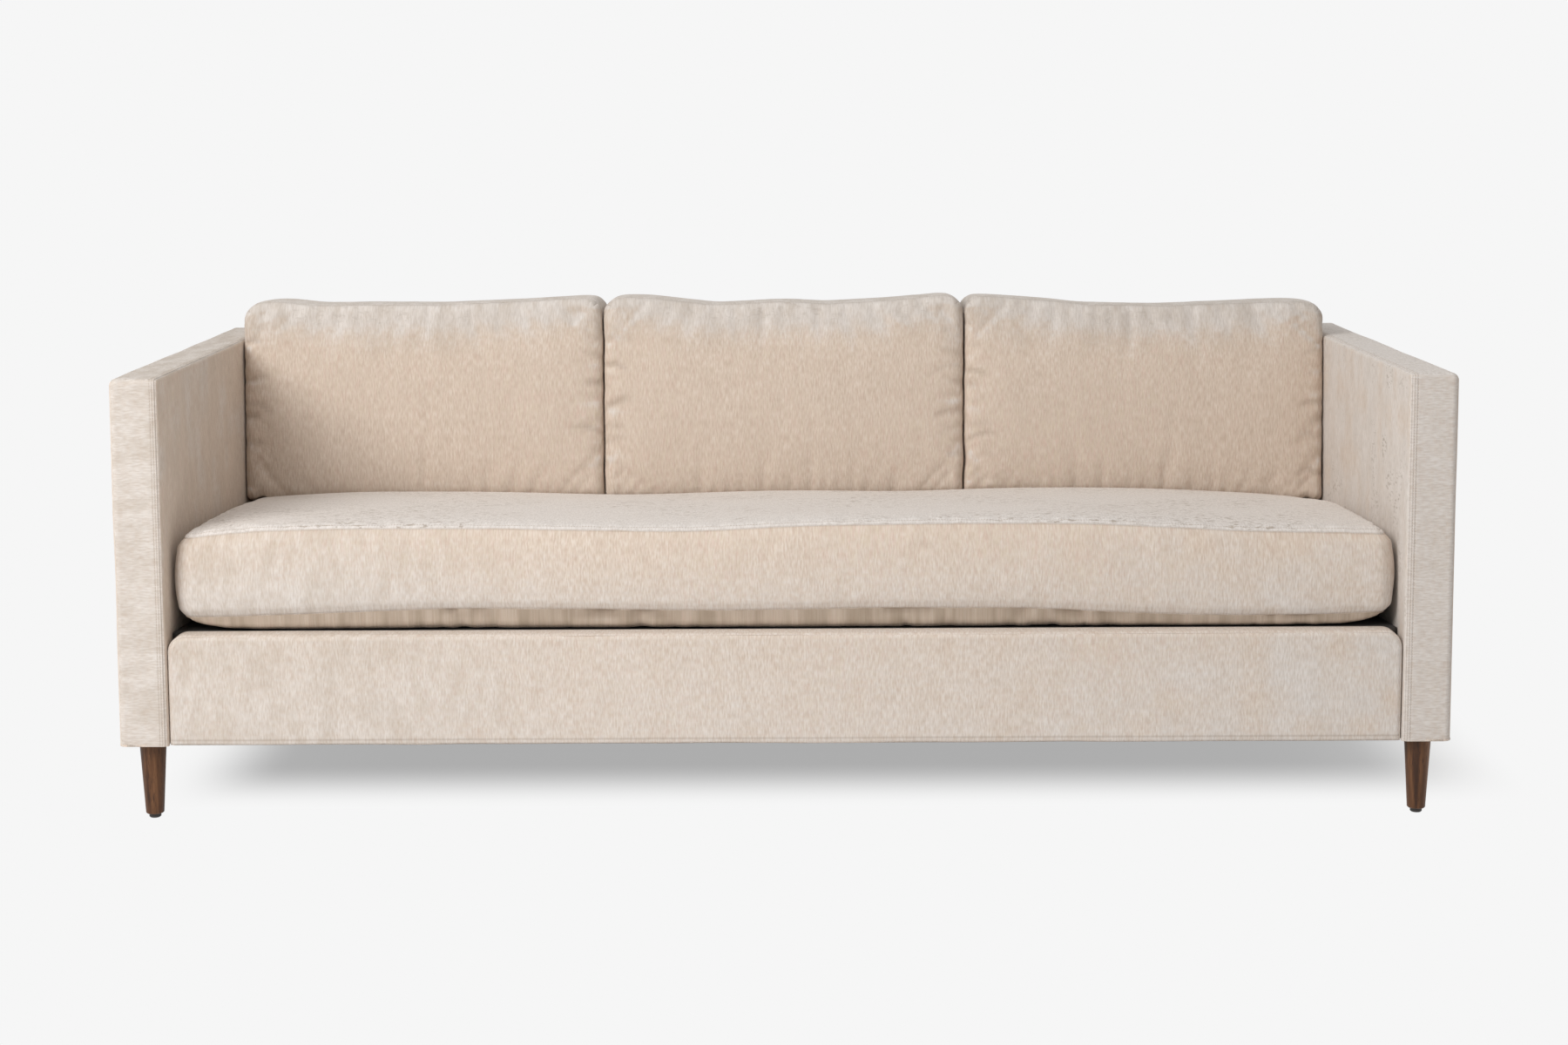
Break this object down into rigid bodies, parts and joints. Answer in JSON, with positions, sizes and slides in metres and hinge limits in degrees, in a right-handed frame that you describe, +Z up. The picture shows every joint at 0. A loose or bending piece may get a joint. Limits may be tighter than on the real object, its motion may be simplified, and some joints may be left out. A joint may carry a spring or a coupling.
{
  "type": "tuxedo sofa",
  "caption": "Tuxedo sofa with flat arms level with the back, a loose bench seat cushion, loose back cushions and round tapered walnut legs.",
  "frame": {"origin": "on the floor under the middle of the sofa", "axes": "+X along the width to the sofa's right as seen from the front, +Y from the front towards the back, +Z up"},
  "size_m": [2.134, 0.9, 0.7942],
  "materials": {
    "upholstery_velvet": "brushed chenille velvet, soft nap",
    "walnut": "satin oiled walnut",
    "glide_plastic": "moulded nylon",
    "frame_timber": "planed hardwood",
    "hardboard": "smooth hardboard",
    "steel": "zinc plated",
    "webbing": "woven elastic webbing",
    "foam": "polyurethane foam",
    "deck_fabric": "plain woven decking",
    "dust_cloth": "spunbond cloth"
  },
  "bodies": {
    "frame": {"front_rail": "frame_timber", "back_rail": "frame_timber", "side_rails": "frame_timber", "seat_stretchers": "frame_timber", "corner_blocks": "frame_timber", "front_posts": "frame_timber", "back_posts": "frame_timber", "arm_top_rails": "frame_timber", "arm_tack_rails": "frame_timber", "back_top_rail": "frame_timber", "back_web_rail": "frame_timber", "back_uprights": "frame_timber", "arm_inner_panels": "hardboard", "arm_outer_panels": "hardboard", "outer_back_panel": "hardboard", "front_cleat": "frame_timber", "back_cleat": "frame_timber", "seat_springs": "steel", "spring_clips": "steel", "tie_wires": "steel", "back_webbing": "webbing", "deck_pad": "foam", "deck_cloth": "deck_fabric", "arm_pad_left": "foam", "arm_pad_right": "foam", "back_pad": "foam", "rail_pad": "foam", "arm_cover_left": "upholstery_velvet", "arm_cover_right": "upholstery_velvet", "back_cover": "upholstery_velvet", "rail_cover": "upholstery_velvet", "dust_cover": "dust_cloth", "leg_front_left": "walnut", "leg_front_right": "walnut", "leg_back_left": "walnut", "leg_back_right": "walnut", "glide_front_left": "glide_plastic", "glide_front_right": "glide_plastic", "glide_back_left": "glide_plastic", "glide_back_right": "glide_plastic", "hanger_bolts": "steel", "leg_plates": "steel", "plate_screws": "steel"},
    "seat_cushion": {"seat_cushion_cover": "upholstery_velvet", "seat_cushion_core": "foam"},
    "back_cushion_left": {"back_cushion_cover_left": "upholstery_velvet", "back_cushion_core_left": "foam"},
    "back_cushion_middle": {"back_cushion_cover_middle": "upholstery_velvet", "back_cushion_core_middle": "foam"},
    "back_cushion_right": {"back_cushion_cover_right": "upholstery_velvet", "back_cushion_core_right": "foam"}
  },
  "joints": [
    {"name": "seat_cushion_slide", "type": "slide", "parent": "frame", "child": "seat_cushion", "axis": [0, -0.9981, 0.061], "range_m": [0, 0.8]},
    {"name": "back_cushion_left_lift", "type": "slide", "parent": "frame", "child": "back_cushion_left", "axis": [0, 0.061, 0.9981], "range_m": [0, 0.4]},
    {"name": "back_cushion_middle_lift", "type": "slide", "parent": "frame", "child": "back_cushion_middle", "axis": [0, 0.061, 0.9981], "range_m": [0, 0.4]},
    {"name": "back_cushion_right_lift", "type": "slide", "parent": "frame", "child": "back_cushion_right", "axis": [0, 0.061, 0.9981], "range_m": [0, 0.4]}
  ]
}
